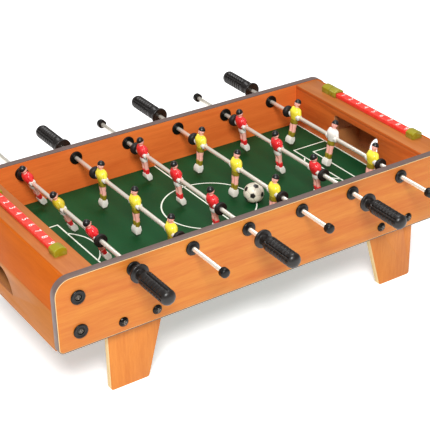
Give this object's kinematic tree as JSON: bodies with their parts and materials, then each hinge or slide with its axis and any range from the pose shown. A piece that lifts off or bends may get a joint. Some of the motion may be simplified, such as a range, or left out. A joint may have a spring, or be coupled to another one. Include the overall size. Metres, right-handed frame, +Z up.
{
  "type": "tabletop foosball table",
  "caption": "Tabletop foosball table: wood-look case on tapered legs, green field, sliding and spinning player rods, score rails and ball",
  "frame": {"origin": "on the surface the legs stand on, at the middle of the table", "axes": "+X runs along the table towards the right end, +Y towards the rear long side, +Z up; the front long side is -Y"},
  "size_m": [0.686, 0.5786, 0.2165],
  "materials": {
    "orange_board": "wood-look foil, satin",
    "end_board": "wood-look foil, satin",
    "edge_band": "smooth band",
    "raw_wood": "raw board",
    "green_field": "printed and lacquered board",
    "black_plastic": "moulded",
    "black_rubber": "moulded",
    "plated_steel": "plated",
    "chrome_rod": "polished",
    "red_plastic": "moulded, printed digits",
    "olive_plastic": "moulded",
    "red_team": "moulded, painted",
    "yellow_team": "moulded, painted",
    "ball_plastic": "moulded, printed patches"
  },
  "bodies": {
    "table": {"front_side_panel": "orange_board", "rear_side_panel": "orange_board", "front_edge_band": "edge_band", "rear_edge_band": "edge_band", "left_goal_wall": "orange_board", "right_goal_wall": "orange_board", "left_ledge": "orange_board", "right_ledge": "orange_board", "left_slant_board": "end_board", "right_slant_board": "end_board", "left_end_board": "end_board", "right_end_board": "end_board", "ball_troughs": "raw_wood", "corner_blocks": "raw_wood", "playfield": "green_field", "front_left_leg": "orange_board", "front_right_leg": "orange_board", "rear_left_leg": "orange_board", "rear_right_leg": "orange_board", "corner_washers": "black_plastic", "corner_screws": "plated_steel", "leg_bolts": "plated_steel", "leg_nuts": "plated_steel", "rod_bushings": "black_plastic", "bushing_nuts": "black_plastic", "score_rails": "red_plastic", "score_end_blocks": "olive_plastic"},
    "rod_1_stops": {"rod_1_bumpers": "black_rubber"},
    "rod_1": {"rod_1_tube": "chrome_rod", "rod_1_handle": "black_plastic", "rod_1_end_cap": "black_plastic", "rod_1_men": "red_team"},
    "rod_2_stops": {"rod_2_bumpers": "black_rubber"},
    "rod_2": {"rod_2_tube": "chrome_rod", "rod_2_handle": "black_plastic", "rod_2_end_cap": "black_plastic", "rod_2_men": "yellow_team"},
    "rod_3_stops": {"rod_3_bumpers": "black_rubber"},
    "rod_3": {"rod_3_tube": "chrome_rod", "rod_3_handle": "black_plastic", "rod_3_end_cap": "black_plastic", "rod_3_men": "red_team"},
    "rod_4_stops": {"rod_4_bumpers": "black_rubber"},
    "rod_4": {"rod_4_tube": "chrome_rod", "rod_4_handle": "black_plastic", "rod_4_end_cap": "black_plastic", "rod_4_men": "yellow_team"},
    "rod_5_stops": {"rod_5_bumpers": "black_rubber"},
    "rod_5": {"rod_5_tube": "chrome_rod", "rod_5_handle": "black_plastic", "rod_5_end_cap": "black_plastic", "rod_5_men": "red_team"},
    "rod_6_stops": {"rod_6_bumpers": "black_rubber"},
    "rod_6": {"rod_6_tube": "chrome_rod", "rod_6_handle": "black_plastic", "rod_6_end_cap": "black_plastic", "rod_6_men": "yellow_team"},
    "left_score_marker": {"left_score_slider": "olive_plastic"},
    "right_score_marker": {"right_score_slider": "olive_plastic"},
    "loose_ball": {"ball": "ball_plastic"}
  },
  "joints": [
    {"name": "rod_1_slide", "type": "slide", "parent": "table", "child": "rod_1_stops", "axis": [0, 1, 0], "range_m": [-0.0716, 0.0016]},
    {"name": "rod_1_spin", "type": "hinge", "parent": "rod_1_stops", "child": "rod_1", "pos_m": [-0.2275, 0, 0.188], "axis": [0, 1, 0], "continuous": true},
    {"name": "rod_2_slide", "type": "slide", "parent": "table", "child": "rod_2_stops", "axis": [0, 1, 0], "range_m": [-0.0166, 0.0566]},
    {"name": "rod_2_spin", "type": "hinge", "parent": "rod_2_stops", "child": "rod_2", "pos_m": [-0.1365, 0, 0.188], "axis": [0, 1, 0], "continuous": true},
    {"name": "rod_3_slide", "type": "slide", "parent": "table", "child": "rod_3_stops", "axis": [0, 1, 0], "range_m": [-0.053, 0.0202]},
    {"name": "rod_3_spin", "type": "hinge", "parent": "rod_3_stops", "child": "rod_3", "pos_m": [-0.0455, 0, 0.188], "axis": [0, 1, 0], "continuous": true},
    {"name": "rod_4_slide", "type": "slide", "parent": "table", "child": "rod_4_stops", "axis": [0, 1, 0], "range_m": [-0.0302, 0.043]},
    {"name": "rod_4_spin", "type": "hinge", "parent": "rod_4_stops", "child": "rod_4", "pos_m": [0.0455, 0, 0.188], "axis": [0, 1, 0], "continuous": true},
    {"name": "rod_5_slide", "type": "slide", "parent": "table", "child": "rod_5_stops", "axis": [0, 1, 0], "range_m": [-0.0516, 0.0216]},
    {"name": "rod_5_spin", "type": "hinge", "parent": "rod_5_stops", "child": "rod_5", "pos_m": [0.1365, 0, 0.188], "axis": [0, 1, 0], "continuous": true},
    {"name": "rod_6_slide", "type": "slide", "parent": "table", "child": "rod_6_stops", "axis": [0, 1, 0], "range_m": [-0.0294, 0.0438]},
    {"name": "rod_6_spin", "type": "hinge", "parent": "rod_6_stops", "child": "rod_6", "pos_m": [0.2275, 0, 0.188], "axis": [0, 1, 0], "continuous": true},
    {"name": "left_score_slide", "type": "slide", "parent": "table", "child": "left_score_marker", "axis": [0, -1, 0], "range_m": [0, 0.177]},
    {"name": "right_score_slide", "type": "slide", "parent": "table", "child": "right_score_marker", "axis": [0, -1, 0], "range_m": [0, 0.177]},
    {"name": "ball_roll", "type": "slide", "parent": "table", "child": "loose_ball", "axis": [1, 0, 0], "range_m": [-0.161, 0.2]}
  ]
}
